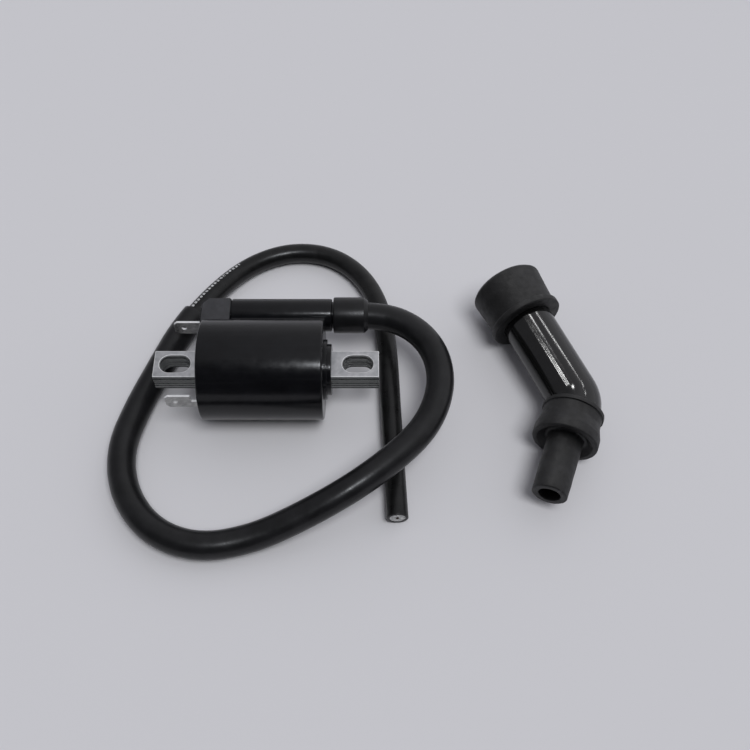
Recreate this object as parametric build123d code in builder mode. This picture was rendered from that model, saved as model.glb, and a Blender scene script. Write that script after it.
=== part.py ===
from build123d import *
from math import asin, cos, degrees, pi, radians, sin, sqrt, tan
import os

# Motorcycle ignition coil with its high tension lead and spark plug cap, in millimetres.
# +X runs along the iron core to the side where the lead comes out, +Y runs to the back,
# where the lead tower is, and +Z is up.  The origin is on the surface the coil lies on,
# under the middle of the core.

# ------------------------------------------------------------------ driving dimensions
# Iron core: a stack of slotted steel strips, riveted and potted as one bar.
core_length = 74.0
core_width = 10.2
lamination_thickness = 0.6
lamination_count = 12
slot_spacing = 60.0
slot_length = 10.2
slot_width = 6.6

# Moulded housing.
body_diameter = 33.4
body_length = 40.1
body_left = -21.2
body_wall = 1.8
body_edge_radius = 0.6
rest_flat_depth = 0.3
end_wall = 2.0
boss_diameter = 20.0
boss_step_diameter = 17.0
boss_length = 2.5
boss_step_length = 1.1

# Lead tower, moulded along the back of the housing.
tower_diameter = 11.2
tower_stand_off = 5.3
tower_reach = 2.1
spigot_length = 6.0
tower_web = 8.0

# Terminal block at the tower's root.
block_overhang = 2.0
block_length = 10.2
block_inset = 1.5
block_past_tower = 3.6
block_height = 10.8
block_corner = 2.2

# Blade terminals.
blade_width = 6.3
blade_thickness = 0.8
blade_length = 8.4
blade_tip_chamfer = 1.1
blade_hole_diameter = 1.7
blade_hole_from_tip = 3.2
blade_reach = 11.2
neck_width = 3.2
neck_drop = 1.5
feed_blade_stand_off = 0.3
ground_blade_y = -12.0
feed_root_depth = 5.8
ground_root_depth = 3.8

# Windings, from the core outwards.
resin_cap = 5.0
bobbin_wall = 0.85
bobbin_flange = 1.0
primary_build = 1.7
paper_thickness = 0.35
secondary_wall = 0.8
resin_round_windings = 1.7
secondary_flange = 0.9
flange_lip = 0.5
section_count = 6
ht_section = 3
wire_diameter = 0.7
wire_out_height = 1.0
wire_out_depth = 2.4
wire_bend = 1.0

# High tension lead and its protective sleeve.
lead_diameter = 7.0
sleeve_wall = 1.05
contact_diameter = 3.2
contact_back = 4.0
contact_front = 2.0
spike_diameter = 1.6
spike_length = 6.0
spike_point = 1.5

# Ferrule over the tower's spigot.
ferrule_wall = 1.5
ferrule_gap = 0.5
ferrule_length = 11.8
ferrule_chamfer = 1.4

# Spark plug cap: two arms that meet at a bend.
cap_bend_x = 102.3
cap_bend_y = -9.1
lead_arm_heading = -109.7
cap_bend_angle = 44.2
cap_bend_inner_radius = 0.3
cap_body_diameter = 17.4
socket_arm = 50.4
socket_body_end = 44.0
lead_arm = 35.9
lead_body_end = 12.0
plug_bore_diameter = 10.8
plug_bore_floor = 22.0
centre_bore_diameter = 5.4
stud_length = 6.0

# Rubber boot on the plug side.
plug_boot_mouth_wall = 3.9
plug_boot_neck_wall = 2.9
plug_boot_start = 34.0
plug_boot_lip = 1.0
plug_boot_lip_length = 2.2
plug_boot_bore_step = 2.1
plug_boot_rim_chamfer = 1.2

# Rubber boot on the lead side.
lead_boot_setback = 0.1
lead_boot_collar_wall = 1.0
lead_boot_bead = 0.5
lead_boot_bead_length = 1.6
lead_boot_waist_end = 8.6
skirt_overhang = 2.1
skirt_start = 12.8
skirt_end = 16.2
skirt_recess = 2.4
skirt_wall = 1.6
nozzle_root_wall = 2.35
nozzle_tip_wall = 2.15

# Contacts inside the cap.
contact_plate_thickness = 1.2
resistor_diameter = 4.6
resistor_length = 11.0
end_cap_wall = 0.3
end_cap_length = 2.2
spring_wire_diameter = 0.6
spring_outer_diameter = 4.8
spring_turns = 4
plug_terminal_diameter = 8.4
plug_terminal_bore_diameter = 6.4
plug_terminal_length = 10.0
plug_terminal_base = 1.6
clip_wire_diameter = 0.8
clip_height = 6.6
clip_arc = 300
screw_diameter = 3.0
screw_length = 6.0
screw_point = 2.6

# Named clearances.
slide_clearance = 0.15
push_clearance = 0.05
lead_socket_clearance = 0.45

# ------------------------------------------------------------------ derived dimensions
body_radius = body_diameter / 2
axis_z = body_radius - rest_flat_depth
body_right = body_left + body_length
cavity_radius = body_radius - body_wall
cavity_end = body_right - end_wall
boss_end = body_right + boss_length
tower_right = body_right + tower_reach
block_left = body_left - block_overhang
block_right = block_left + block_length
blade_tip = body_left - blade_reach
feed_root_end = body_left + feed_root_depth
ground_root_end = body_left + ground_root_depth
core_height = lamination_thickness * lamination_count
core_bottom = axis_z - core_height / 2
lead_radius = lead_diameter / 2
lead_bore_radius = lead_radius + push_clearance
sleeve_radius = lead_bore_radius + sleeve_wall
tower_radius = tower_diameter / 2
tower_offset = body_radius + tower_stand_off
block_front = body_radius - block_inset
block_back = tower_offset + block_past_tower
feed_blade_y = body_radius + feed_blade_stand_off
ferrule_bore_radius = sleeve_radius + push_clearance
ferrule_radius = ferrule_bore_radius + ferrule_wall
ferrule_start = tower_right + ferrule_gap
spigot_end = tower_right + spigot_length
spigot_radius = sleeve_radius
sleeve_start = spigot_end

bobbin_left = body_left + resin_cap
bobbin_right = cavity_end - slide_clearance
bobbin_length = bobbin_right - bobbin_left
bore_half_width = core_width / 2 + slide_clearance
bore_half_height = core_height / 2 + slide_clearance
primary_inner = sqrt(bore_half_width**2 + bore_half_height**2) + bobbin_wall
primary_outer = primary_inner + primary_build
wire_out_radius = primary_inner + wire_out_height
paper_outer = primary_outer + paper_thickness
secondary_tube_inner = paper_outer + slide_clearance
secondary_inner = secondary_tube_inner + secondary_wall
secondary_flange_radius = cavity_radius - resin_round_windings
secondary_outer = secondary_flange_radius - flange_lip
section_pitch = (bobbin_length - secondary_flange) / section_count
section_length = section_pitch - secondary_flange
link_x = bobbin_left + ht_section * section_pitch + secondary_flange + section_length / 2
contact_left = link_x - contact_back
contact_right = link_x + contact_front
wire_x = bobbin_left - wire_out_depth

cap_body_radius = cap_body_diameter / 2
cap_bend_radius = cap_body_radius + cap_bend_inner_radius
lead_boot_start = cap_bend_radius * tan(radians(cap_bend_angle / 2)) + lead_boot_setback
skirt_radius = cap_body_radius + skirt_overhang
collar_radius = cap_body_radius + lead_boot_collar_wall
mouth_radius = cap_body_radius + plug_boot_mouth_wall
neck_radius = cap_body_radius + plug_boot_neck_wall
lip_radius = neck_radius + plug_boot_lip
nozzle_radius = lead_bore_radius + nozzle_root_wall
nozzle_tip_radius = lead_bore_radius + nozzle_tip_wall
lead_socket_radius = lead_radius + lead_socket_clearance
plug_bore_radius = plug_bore_diameter / 2
plug_boot_bore_radius = plug_bore_radius + plug_boot_bore_step
centre_bore_radius = centre_bore_diameter / 2

# The cap lies on its skirt and on the plug boot's lip, so it is rolled about its lead arm.
cap_roll = degrees(asin((lip_radius - skirt_radius) / (plug_boot_start * sin(radians(cap_bend_angle)))))
lead_direction = Vector(cos(radians(lead_arm_heading)), sin(radians(lead_arm_heading)), 0)
cap_bend = Vector(cap_bend_x, cap_bend_y, skirt_radius)
cap_normal = Vector(0, 0, 1).rotate(Axis(cap_bend, lead_direction), -cap_roll)
socket_direction = (-lead_direction).rotate(Axis(cap_bend, cap_normal), cap_bend_angle)

# Route of the lead, from the ferrule to its cut end.  The first points lie in the sleeve.
sleeve_floor = sleeve_radius + 0.1
lead_floor = lead_radius + 0.1
sleeve_route = [
    (sleeve_start, tower_offset, axis_z),
    (38.0, tower_offset, axis_z),
    (48.2, 17.4, 16.4),
    (54.9, 9.4, 16.2),
    (57.6, -0.9, 16.0),
    (56.2, -11.9, 15.7),
    (51.0, -22.6, 15.4),
    (41.6, -32.2, 15.2),
    (29.0, -42.0, 14.4),
    (13.4, -49.4, 9.6),
    (-2.8, -55.2, sleeve_floor),
    (-19.6, -58.2, sleeve_floor),
    (-34.5, -52.7, sleeve_floor),
    (-44.7, -39.8, sleeve_floor),
    (-48.1, -23.7, sleeve_floor),
    (-44.1, -7.4, sleeve_floor),
    (-38.0, 9.4, sleeve_floor),
    (-32.9, 23.2, sleeve_floor),
]
lead_tail_route = [
    (-23.8, 38.6, sleeve_floor),
    (-11.5, 53.2, lead_floor),
    (3.1, 60.0, lead_floor),
    (18.0, 58.9, lead_floor),
    (29.7, 50.5, lead_floor),
    (37.0, 36.9, lead_floor),
    (40.0, 19.2, lead_floor),
    (41.2, -14.4, lead_floor),
    (42.8, -47.7, lead_floor),
]
sleeve_end_share = 0.48

os.makedirs("parts", exist_ok=True)
made = []


def keep(builder, name):
    """Label a finished part and remember it for export."""
    builder.part.label = name
    made.append(builder.part)


def ring(x_start, length, outer, inner, name):
    """A plain ring about the core's axis."""
    with BuildPart() as piece:
        with BuildSketch(Plane.YZ.offset(x_start)):
            with Locations((0, axis_z)):
                Circle(outer)
                Circle(inner, mode=Mode.SUBTRACT)
        extrude(amount=length)
    keep(piece, name)


def corner_radii(points):
    """Radius of each corner: 0.45 of its shorter run over the tangent of half its turn."""
    radii = []
    for before, corner, after in zip(points, points[1:], points[2:]):
        run_in = Vector(*corner) - Vector(*before)
        run_out = Vector(*after) - Vector(*corner)
        half_turn = radians(run_in.get_angle(run_out)) / 2
        radii.append(0.45 * min(run_in.length, run_out.length) / tan(half_turn))
    return radii


def cord(points, radii, outer, inner, name):
    """A tube along straight runs joined by tangent arcs."""
    with BuildPart() as tube:
        with BuildLine() as path:
            FilletPolyline(*points, radius=radii)
        route = path.wire()
        with BuildSketch(Plane(origin=route @ 0, z_dir=route % 0)):
            Circle(outer)
            if inner > 0:
                Circle(inner, mode=Mode.SUBTRACT)
        sweep(path=route)
    expected = pi * (outer**2 - inner**2) * route.length
    print(name, "length", round(route.length, 1), "volume ratio", round(tube.part.volume / expected, 5))
    keep(tube, name)


# ------------------------------------------------------------------ iron core
with BuildPart() as core:
    with BuildSketch(Plane.XY.offset(core_bottom)):
        Rectangle(core_length, core_width)
        with GridLocations(slot_spacing, 0, 2, 1):
            SlotOverall(slot_length, slot_width, mode=Mode.SUBTRACT)
    extrude(amount=core_height)
keep(core, "core_laminations")

# ------------------------------------------------------------------ moulded housing
feed_neck_z = axis_z + neck_drop
ground_neck_z = axis_z - neck_drop
wire_radius = wire_diameter / 2
passage_radius = wire_radius + push_clearance

with BuildPart() as housing:
    with BuildSketch(Plane.YZ.offset(body_left)):
        with Locations((0, axis_z)):
            Circle(body_radius)
    extrude(amount=body_length)
    fillet(housing.edges().filter_by(GeomType.CIRCLE), body_edge_radius)
    # Two-step boss round the core on the right.
    with BuildSketch(Plane.YZ.offset(body_right)):
        with Locations((0, axis_z)):
            Circle(boss_diameter / 2)
    extrude(amount=boss_step_length)
    with BuildSketch(Plane.YZ.offset(body_right + boss_step_length)):
        with Locations((0, axis_z)):
            Circle(boss_step_diameter / 2)
    extrude(amount=boss_length - boss_step_length)
    # Terminal block with a flat top and a cut corner.
    with BuildSketch(Plane.XY.offset(axis_z)):
        with Locations(((block_left + block_right) / 2, (block_front + block_back) / 2)):
            Rectangle(block_right - block_left, block_back - block_front)
        chamfer(vertices().group_by(Axis.X)[0].sort_by(Axis.Y)[-1], block_corner)
    extrude(amount=block_height / 2, both=True)
    # Tower, its spigot and the web that carries it.
    with BuildSketch(Plane.YZ.offset(block_right)):
        with Locations((tower_offset, axis_z)):
            Circle(tower_radius)
    extrude(amount=tower_right - block_right)
    with BuildSketch(Plane.YZ.offset(tower_right)):
        with Locations((tower_offset, axis_z)):
            Circle(spigot_radius)
    extrude(amount=spigot_length)
    with BuildSketch(Plane.YZ.offset(block_right)):
        with Locations((tower_offset / 2, axis_z)):
            Rectangle(tower_offset, tower_web)
    extrude(amount=body_right - block_right)
    # Cavity for the windings, open on the left.
    with BuildSketch(Plane.YZ.offset(body_left)):
        with Locations((0, axis_z)):
            Circle(cavity_radius)
    extrude(amount=cavity_end - body_left, mode=Mode.SUBTRACT)
    # Passage for the core through the end wall and the boss.
    with BuildSketch(Plane.YZ.offset(cavity_end)):
        with Locations((0, axis_z)):
            Rectangle(core_width + 2 * push_clearance, core_height + 2 * push_clearance)
    extrude(amount=boss_end - cavity_end, mode=Mode.SUBTRACT)
    # Contact bore and lead bore in the tower.
    with BuildSketch(Plane.YZ.offset(contact_left)):
        with Locations((tower_offset, axis_z)):
            Circle(contact_diameter / 2 + push_clearance)
    extrude(amount=contact_right - contact_left, mode=Mode.SUBTRACT)
    with BuildSketch(Plane.YZ.offset(contact_right)):
        with Locations((tower_offset, axis_z)):
            Circle(lead_bore_radius)
    extrude(amount=spigot_end - contact_right, mode=Mode.SUBTRACT)
    # Passages for the high tension link and for the feed wire.
    with BuildSketch(Plane.XZ.offset(-cavity_radius * cos(radians(30)))):
        with Locations((link_x, axis_z)):
            Circle(passage_radius)
    extrude(amount=cavity_radius * cos(radians(30)) - tower_offset, mode=Mode.SUBTRACT)
    with BuildSketch(Plane.XZ.offset(-feed_blade_y)):
        with Locations((wire_x, feed_neck_z)):
            Circle(passage_radius)
    extrude(amount=feed_blade_y - cavity_radius / 2, mode=Mode.SUBTRACT)
    # Slot for the root of the feed blade.
    with BuildSketch(Plane.XZ.offset(-feed_blade_y)):
        with Locations(((block_left + feed_root_end) / 2, feed_neck_z)):
            Rectangle(feed_root_end - block_left, neck_width)
    extrude(amount=blade_thickness / 2, both=True, mode=Mode.SUBTRACT)
    # Flat that the coil lies on.
    with BuildSketch(Plane.XY):
        Rectangle(core_length, body_diameter)
    extrude(amount=-body_radius, mode=Mode.SUBTRACT)
keep(housing, "housing")

# ------------------------------------------------------------------ blade terminals
def blade(blade_y, neck_z, root_end, name):
    """A spade blade that stands upright, with a narrower neck that runs into the housing."""
    shoulder = blade_tip + blade_length
    with BuildPart() as piece:
        with BuildSketch(Plane.XZ.offset(-blade_y)):
            with Locations((blade_tip + blade_length / 2, axis_z)):
                Rectangle(blade_length, blade_width)
            chamfer(vertices().group_by(Axis.X)[0], blade_tip_chamfer)
            with Locations(((shoulder + root_end) / 2, neck_z)):
                Rectangle(root_end - shoulder, neck_width)
            with Locations((blade_tip + blade_hole_from_tip, axis_z)):
                Circle(blade_hole_diameter / 2, mode=Mode.SUBTRACT)
        extrude(amount=blade_thickness / 2, both=True)
    keep(piece, name)


blade(feed_blade_y, feed_neck_z, feed_root_end, "feed_terminal")
blade(ground_blade_y, ground_neck_z, ground_root_end, "ground_terminal")

# ------------------------------------------------------------------ wires to the primary
winding_left = bobbin_left + bobbin_flange


def wire_out(start_y, wire_z, side, name):
    """Enamelled wire from a blade's root across to the primary winding."""
    with BuildPart() as piece:
        with BuildLine() as path:
            FilletPolyline(
                (wire_x, start_y, wire_z),
                (wire_x, side * wire_out_radius, wire_z),
                (winding_left, side * wire_out_radius, wire_z),
                radius=wire_bend,
            )
        wire_line = path.wire()
        with BuildSketch(Plane(origin=wire_line @ 0, z_dir=wire_line % 0)):
            Circle(wire_radius)
        sweep(path=wire_line)
    keep(piece, name)
    return piece.part


feed_wire = wire_out(feed_blade_y - blade_thickness / 2, feed_neck_z, 1, "feed_wire")
ground_wire = wire_out(ground_blade_y + blade_thickness / 2, ground_neck_z, -1, "ground_wire")

# ------------------------------------------------------------------ windings
with BuildPart() as primary_bobbin:
    for flange_x in (bobbin_left, bobbin_right - bobbin_flange):
        with BuildSketch(Plane.YZ.offset(flange_x)):
            with Locations((0, axis_z)):
                Circle(paper_outer)
        extrude(amount=bobbin_flange)
    with BuildSketch(Plane.YZ.offset(bobbin_left)):
        with Locations((0, axis_z)):
            Circle(primary_inner)
    extrude(amount=bobbin_length)
    with BuildSketch(Plane.YZ.offset(bobbin_left)):
        with Locations((0, axis_z)):
            Rectangle(2 * bore_half_width, 2 * bore_half_height)
    extrude(amount=bobbin_length, mode=Mode.SUBTRACT)
    with BuildSketch(Plane.YZ.offset(bobbin_left)):
        with Locations((wire_out_radius, feed_neck_z), (-wire_out_radius, ground_neck_z)):
            Circle(wire_radius)
    extrude(amount=bobbin_flange, mode=Mode.SUBTRACT)
keep(primary_bobbin, "primary_bobbin")

primary_length = bobbin_length - 2 * bobbin_flange
ring(winding_left, primary_length, primary_outer, primary_inner, "primary_winding")
ring(winding_left, primary_length, paper_outer, primary_outer, "insulating_paper")

with BuildPart() as secondary_bobbin:
    with BuildSketch(Plane.YZ.offset(bobbin_left)):
        with Locations((0, axis_z)):
            Circle(secondary_inner)
    extrude(amount=bobbin_length)
    for index in range(section_count + 1):
        with BuildSketch(Plane.YZ.offset(bobbin_left + index * section_pitch)):
            with Locations((0, axis_z)):
                Circle(secondary_flange_radius)
        extrude(amount=secondary_flange)
    with BuildSketch(Plane.YZ.offset(bobbin_left)):
        with Locations((0, axis_z)):
            Circle(secondary_tube_inner)
    extrude(amount=bobbin_length, mode=Mode.SUBTRACT)
keep(secondary_bobbin, "secondary_bobbin")

for index in range(section_count):
    section_left = bobbin_left + index * section_pitch + secondary_flange
    ring(section_left, section_length, secondary_outer, secondary_inner, f"secondary_winding_{index + 1}")

# ------------------------------------------------------------------ tower contact
with BuildPart() as ht_link:
    with BuildSketch(Plane.XZ.offset(-secondary_outer)):
        with Locations((link_x, axis_z)):
            Circle(wire_radius)
    extrude(amount=secondary_outer - tower_offset + contact_diameter / 2)
keep(ht_link, "ht_link_wire")

spike_base_end = contact_right + spike_length - spike_point
tower_axis = Axis((0, tower_offset, axis_z), (1, 0, 0))
tower_plane = Plane(origin=(0, tower_offset, axis_z), x_dir=(1, 0, 0), z_dir=(0, -1, 0))

with BuildPart() as contact:
    with BuildSketch(tower_plane):
        with BuildLine():
            Polyline(
                (contact_left, 0),
                (contact_left, contact_diameter / 2),
                (contact_right, contact_diameter / 2),
                (contact_right, spike_diameter / 2),
                (spike_base_end, spike_diameter / 2),
                (contact_right + spike_length, 0),
                close=True,
            )
        make_face()
    revolve(axis=tower_axis)
keep(contact, "tower_contact")

with BuildPart() as lead_tail:
    with BuildSketch(Plane.YZ.offset(contact_right)):
        with Locations((tower_offset, axis_z)):
            Circle(lead_radius)
    extrude(amount=sleeve_start - contact_right)
    add(contact.part, mode=Mode.SUBTRACT)
keep(lead_tail, "lead_clamped_end")

# ------------------------------------------------------------------ potting resin
with BuildPart() as resin:
    with BuildSketch(Plane.YZ.offset(body_left)):
        with Locations((0, axis_z)):
            Circle(cavity_radius)
    extrude(amount=cavity_end - body_left)
    with BuildSketch(Plane.YZ.offset(bobbin_left)):
        with Locations((0, axis_z)):
            Circle(secondary_flange_radius)
    extrude(amount=cavity_end - bobbin_left, mode=Mode.SUBTRACT)
    with BuildSketch(Plane.YZ.offset(body_left)):
        with Locations((0, axis_z)):
            Rectangle(core_width, core_height)
    extrude(amount=resin_cap, mode=Mode.SUBTRACT)
    with BuildSketch(Plane.XZ.offset(-ground_blade_y)):
        with Locations(((body_left + ground_root_end) / 2, ground_neck_z)):
            Rectangle(ground_root_end - body_left, neck_width)
    extrude(amount=blade_thickness / 2, both=True, mode=Mode.SUBTRACT)
    add([feed_wire, ground_wire, ht_link.part], mode=Mode.SUBTRACT)
keep(resin, "potting_resin")

# ------------------------------------------------------------------ ferrule
with BuildPart() as ferrule:
    with BuildSketch(Plane.YZ.offset(ferrule_start)):
        with Locations((tower_offset, axis_z)):
            Circle(ferrule_radius)
    extrude(amount=ferrule_length)
    chamfer(ferrule.faces().sort_by(Axis.X)[-1].edges(), ferrule_chamfer)
    with BuildSketch(Plane.YZ.offset(ferrule_start)):
        with Locations((tower_offset, axis_z)):
            Circle(ferrule_bore_radius)
    extrude(amount=ferrule_length, mode=Mode.SUBTRACT)
keep(ferrule, "tower_ferrule")

# ------------------------------------------------------------------ lead and sleeve
lead_route = sleeve_route + lead_tail_route
lead_radii = corner_radii(lead_route)
print("bend radii", [round(radius, 1) for radius in lead_radii])

last_sleeve_point = Vector(*sleeve_route[-1])
next_lead_point = Vector(*lead_tail_route[0])
sleeve_end = last_sleeve_point + (next_lead_point - last_sleeve_point) * sleeve_end_share
sleeve_radii = lead_radii[: len(sleeve_route) - 1]

cord(lead_route, lead_radii, lead_radius, 0, "ht_lead")
cord(
    sleeve_route + [tuple(sleeve_end)],
    sleeve_radii,
    sleeve_radius,
    lead_bore_radius,
    "lead_sleeve",
)

# ------------------------------------------------------------------ spark plug cap
socket_plane = Plane(origin=cap_bend, x_dir=socket_direction, z_dir=cap_normal)
lead_plane = Plane(origin=cap_bend, x_dir=lead_direction, z_dir=cap_normal)


def turned(plane, outline):
    """Turn an outline of (distance from the bend, radius) about an arm of the cap."""
    with BuildSketch(plane) as profile:
        with BuildLine():
            Polyline(*outline, close=True)
        make_face()
    revolve(profile.sketch, axis=Axis(plane.origin, plane.x_dir))


def cap_ring(plane, start, end, outer, inner, name):
    """A ring or a disc about an arm of the cap."""
    with BuildPart() as piece:
        with BuildSketch(Plane(origin=plane.origin + plane.x_dir * start, z_dir=plane.x_dir)):
            Circle(outer)
            if inner > 0:
                Circle(inner, mode=Mode.SUBTRACT)
        extrude(amount=end - start)
    keep(piece, name)


stud_radius = centre_bore_radius - slide_clearance

with BuildPart() as cap_body:
    with BuildLine() as cap_path:
        FilletPolyline(
            cap_bend + socket_direction * socket_body_end,
            cap_bend,
            cap_bend + lead_direction * lead_body_end,
            radius=cap_bend_radius,
        )
    cap_line = cap_path.wire()
    with BuildSketch(Plane(origin=cap_line @ 0, z_dir=cap_line % 0)):
        Circle(cap_body_radius)
    sweep(path=cap_line)
    # Plug bore and centre bore in the socket arm.
    with BuildSketch(socket_plane):
        with BuildLine():
            Polyline(
                (0, 0),
                (0, centre_bore_radius),
                (plug_bore_floor, centre_bore_radius),
                (plug_bore_floor, plug_bore_radius),
                (socket_body_end, plug_bore_radius),
                (socket_body_end, 0),
                close=True,
            )
        make_face()
    revolve(axis=Axis(cap_bend, socket_direction), mode=Mode.SUBTRACT)
    # Stud bore and lead bore in the lead arm.
    with BuildSketch(lead_plane):
        with BuildLine():
            Polyline(
                (0, centre_bore_radius),
                (stud_length, centre_bore_radius),
                (stud_length, lead_socket_radius),
                (lead_body_end, lead_socket_radius),
                (lead_body_end, 0),
                (-centre_bore_radius, 0),
            )
            CenterArc((0, 0), centre_bore_radius, 90, 90)
        make_face()
    revolve(axis=Axis(cap_bend, lead_direction), mode=Mode.SUBTRACT)
keep(cap_body, "cap_body")

with BuildPart() as plug_boot:
    lip_end = plug_boot_start + plug_boot_lip_length
    turned(
        socket_plane,
        [
            (plug_boot_start, cap_body_radius),
            (plug_boot_start, lip_radius),
            (lip_end, lip_radius),
            (lip_end, neck_radius),
            (socket_arm - plug_boot_rim_chamfer, mouth_radius),
            (socket_arm, mouth_radius - plug_boot_rim_chamfer),
            (socket_arm, plug_boot_bore_radius),
            (socket_body_end, plug_boot_bore_radius),
            (socket_body_end, cap_body_radius),
        ],
    )
keep(plug_boot, "plug_boot")

with BuildPart() as lead_boot:
    bead_end = lead_boot_start + lead_boot_bead_length
    turned(
        lead_plane,
        [
            (lead_boot_start, cap_body_radius),
            (lead_boot_start, collar_radius + lead_boot_bead),
            (bead_end, collar_radius + lead_boot_bead),
            (bead_end, collar_radius),
            (lead_boot_waist_end, collar_radius),
            (skirt_start, skirt_radius),
            (skirt_end, skirt_radius),
            (skirt_end, skirt_radius - skirt_wall),
            (skirt_end - skirt_recess, nozzle_radius),
            (lead_arm, nozzle_tip_radius),
            (lead_arm, lead_bore_radius),
            (lead_body_end, lead_bore_radius),
            (lead_body_end, cap_body_radius),
        ],
    )
keep(lead_boot, "lead_boot")

# Current path through the cap, from the lead to the plug.
with BuildPart() as lead_screw:
    with BuildSketch(lead_plane):
        with BuildLine():
            Polyline(
                (0, stud_radius),
                (stud_length, stud_radius),
                (stud_length, screw_diameter / 2),
                (stud_length + screw_length - screw_point, screw_diameter / 2),
                (stud_length + screw_length, 0),
                (-stud_radius, 0),
            )
            CenterArc((0, 0), stud_radius, 90, 90)
        make_face()
    revolve(axis=Axis(cap_bend, lead_direction))
keep(lead_screw, "lead_screw")

plate_end = stud_radius + contact_plate_thickness
rod_start = plate_end + end_cap_wall
rod_end = rod_start + resistor_length
resistor_radius = resistor_diameter / 2
end_cap_radius = resistor_radius + end_cap_wall
spring_start = rod_end + end_cap_wall
spring_wire_radius = spring_wire_diameter / 2

cap_ring(socket_plane, stud_radius, plate_end, stud_radius, 0, "contact_plate")
cap_ring(socket_plane, rod_start, rod_end, resistor_radius, 0, "resistor")


def end_cap(base, inward, name):
    """A brass cup over one end of the resistor."""
    with BuildPart() as piece:
        turned(
            socket_plane,
            [
                (base, 0),
                (base, end_cap_radius),
                (base + inward * end_cap_length, end_cap_radius),
                (base + inward * end_cap_length, resistor_radius),
                (base + inward * end_cap_wall, resistor_radius),
                (base + inward * end_cap_wall, 0),
            ],
        )
    keep(piece, name)


end_cap(plate_end, 1, "resistor_cap_inner")
end_cap(spring_start, -1, "resistor_cap_outer")

with BuildPart() as spring:
    coil_length = plug_bore_floor - spring_start - spring_wire_diameter
    with BuildLine() as coil:
        Helix(
            pitch=coil_length / spring_turns,
            height=coil_length,
            radius=spring_outer_diameter / 2 - spring_wire_radius,
            center=cap_bend + socket_direction * (spring_start + spring_wire_radius),
            direction=socket_direction,
        )
    coil_line = coil.wire()
    with BuildSketch(Plane(origin=coil_line @ 0, z_dir=coil_line % 0)):
        Circle(spring_wire_radius)
    sweep(path=coil_line, is_frenet=True)
keep(spring, "contact_spring")

terminal_outer = plug_terminal_diameter / 2
terminal_inner = plug_terminal_bore_diameter / 2
terminal_base_end = plug_bore_floor + plug_terminal_base
terminal_end = plug_bore_floor + plug_terminal_length

with BuildPart() as plug_terminal:
    turned(
        socket_plane,
        [
            (plug_bore_floor, 0),
            (plug_bore_floor, plug_bore_radius - push_clearance),
            (terminal_base_end, plug_bore_radius - push_clearance),
            (terminal_base_end, terminal_outer),
            (terminal_end, terminal_outer),
            (terminal_end, terminal_inner),
            (terminal_base_end, terminal_inner),
            (terminal_base_end, 0),
        ],
    )
keep(plug_terminal, "plug_terminal")

with BuildPart() as clip:
    clip_radius = clip_wire_diameter / 2
    with BuildSketch(socket_plane):
        with Locations((plug_bore_floor + clip_height, terminal_outer + clip_radius)):
            Circle(clip_radius)
    revolve(axis=Axis(cap_bend, socket_direction), revolution_arc=clip_arc)
keep(clip, "terminal_clip")

for part in made:
    export_step(part, f"parts/{part.label}.step")
print("cap bend", cap_bend, "socket direction", socket_direction, "lead direction", lead_direction)
print("cap roll", round(cap_roll, 3), "sleeve end", sleeve_end, "link x", round(link_x, 3))
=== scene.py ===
"""Ignition coil with its high tension lead and spark plug cap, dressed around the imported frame.

Units are metres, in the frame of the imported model: +X along the iron core to the side where
the lead comes out, +Y to the back, where the lead tower is, and +Z up.
"""

from bisect import bisect_right
from math import asin, cos, pi, radians, sin, tan

import bmesh
import bpy
from mathutils import Matrix, Vector, noise


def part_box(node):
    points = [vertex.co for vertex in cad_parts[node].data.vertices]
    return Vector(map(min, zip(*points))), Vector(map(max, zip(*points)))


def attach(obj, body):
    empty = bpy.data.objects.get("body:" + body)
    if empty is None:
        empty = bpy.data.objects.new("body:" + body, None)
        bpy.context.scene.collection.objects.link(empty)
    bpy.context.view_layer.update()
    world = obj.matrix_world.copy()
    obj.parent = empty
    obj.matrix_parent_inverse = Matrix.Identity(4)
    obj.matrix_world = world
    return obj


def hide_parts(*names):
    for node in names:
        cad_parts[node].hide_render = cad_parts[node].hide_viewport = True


MM = 0.001
TINY = 1e-7  # two points nearer than this are one point
X = Vector((1, 0, 0))
Z = Vector((0, 0, 1))

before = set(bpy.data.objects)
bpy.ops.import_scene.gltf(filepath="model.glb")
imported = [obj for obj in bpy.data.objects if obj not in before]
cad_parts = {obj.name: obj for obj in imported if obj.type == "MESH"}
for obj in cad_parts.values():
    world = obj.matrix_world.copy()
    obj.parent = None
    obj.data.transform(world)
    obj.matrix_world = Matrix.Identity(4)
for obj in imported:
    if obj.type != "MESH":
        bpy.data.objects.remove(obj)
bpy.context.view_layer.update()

# ------------------------------------------------------------------ camera
LENS_MM = 48.0
SENSOR_MM = 36.0
CAMERA_PLACE = (0.03565, -0.17692, 0.29616)
CAMERA_TILT_FROM_DOWN = 32.0


def make_camera():
    data = bpy.data.cameras.new("camera")
    data.lens = LENS_MM
    data.sensor_width = SENSOR_MM
    data.clip_start = 0.01
    camera = bpy.data.objects.new("camera", data)
    camera.location = CAMERA_PLACE
    camera.rotation_euler = (radians(CAMERA_TILT_FROM_DOWN), 0, 0)
    bpy.context.scene.collection.objects.link(camera)
    bpy.context.scene.camera = camera


make_camera()

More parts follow.
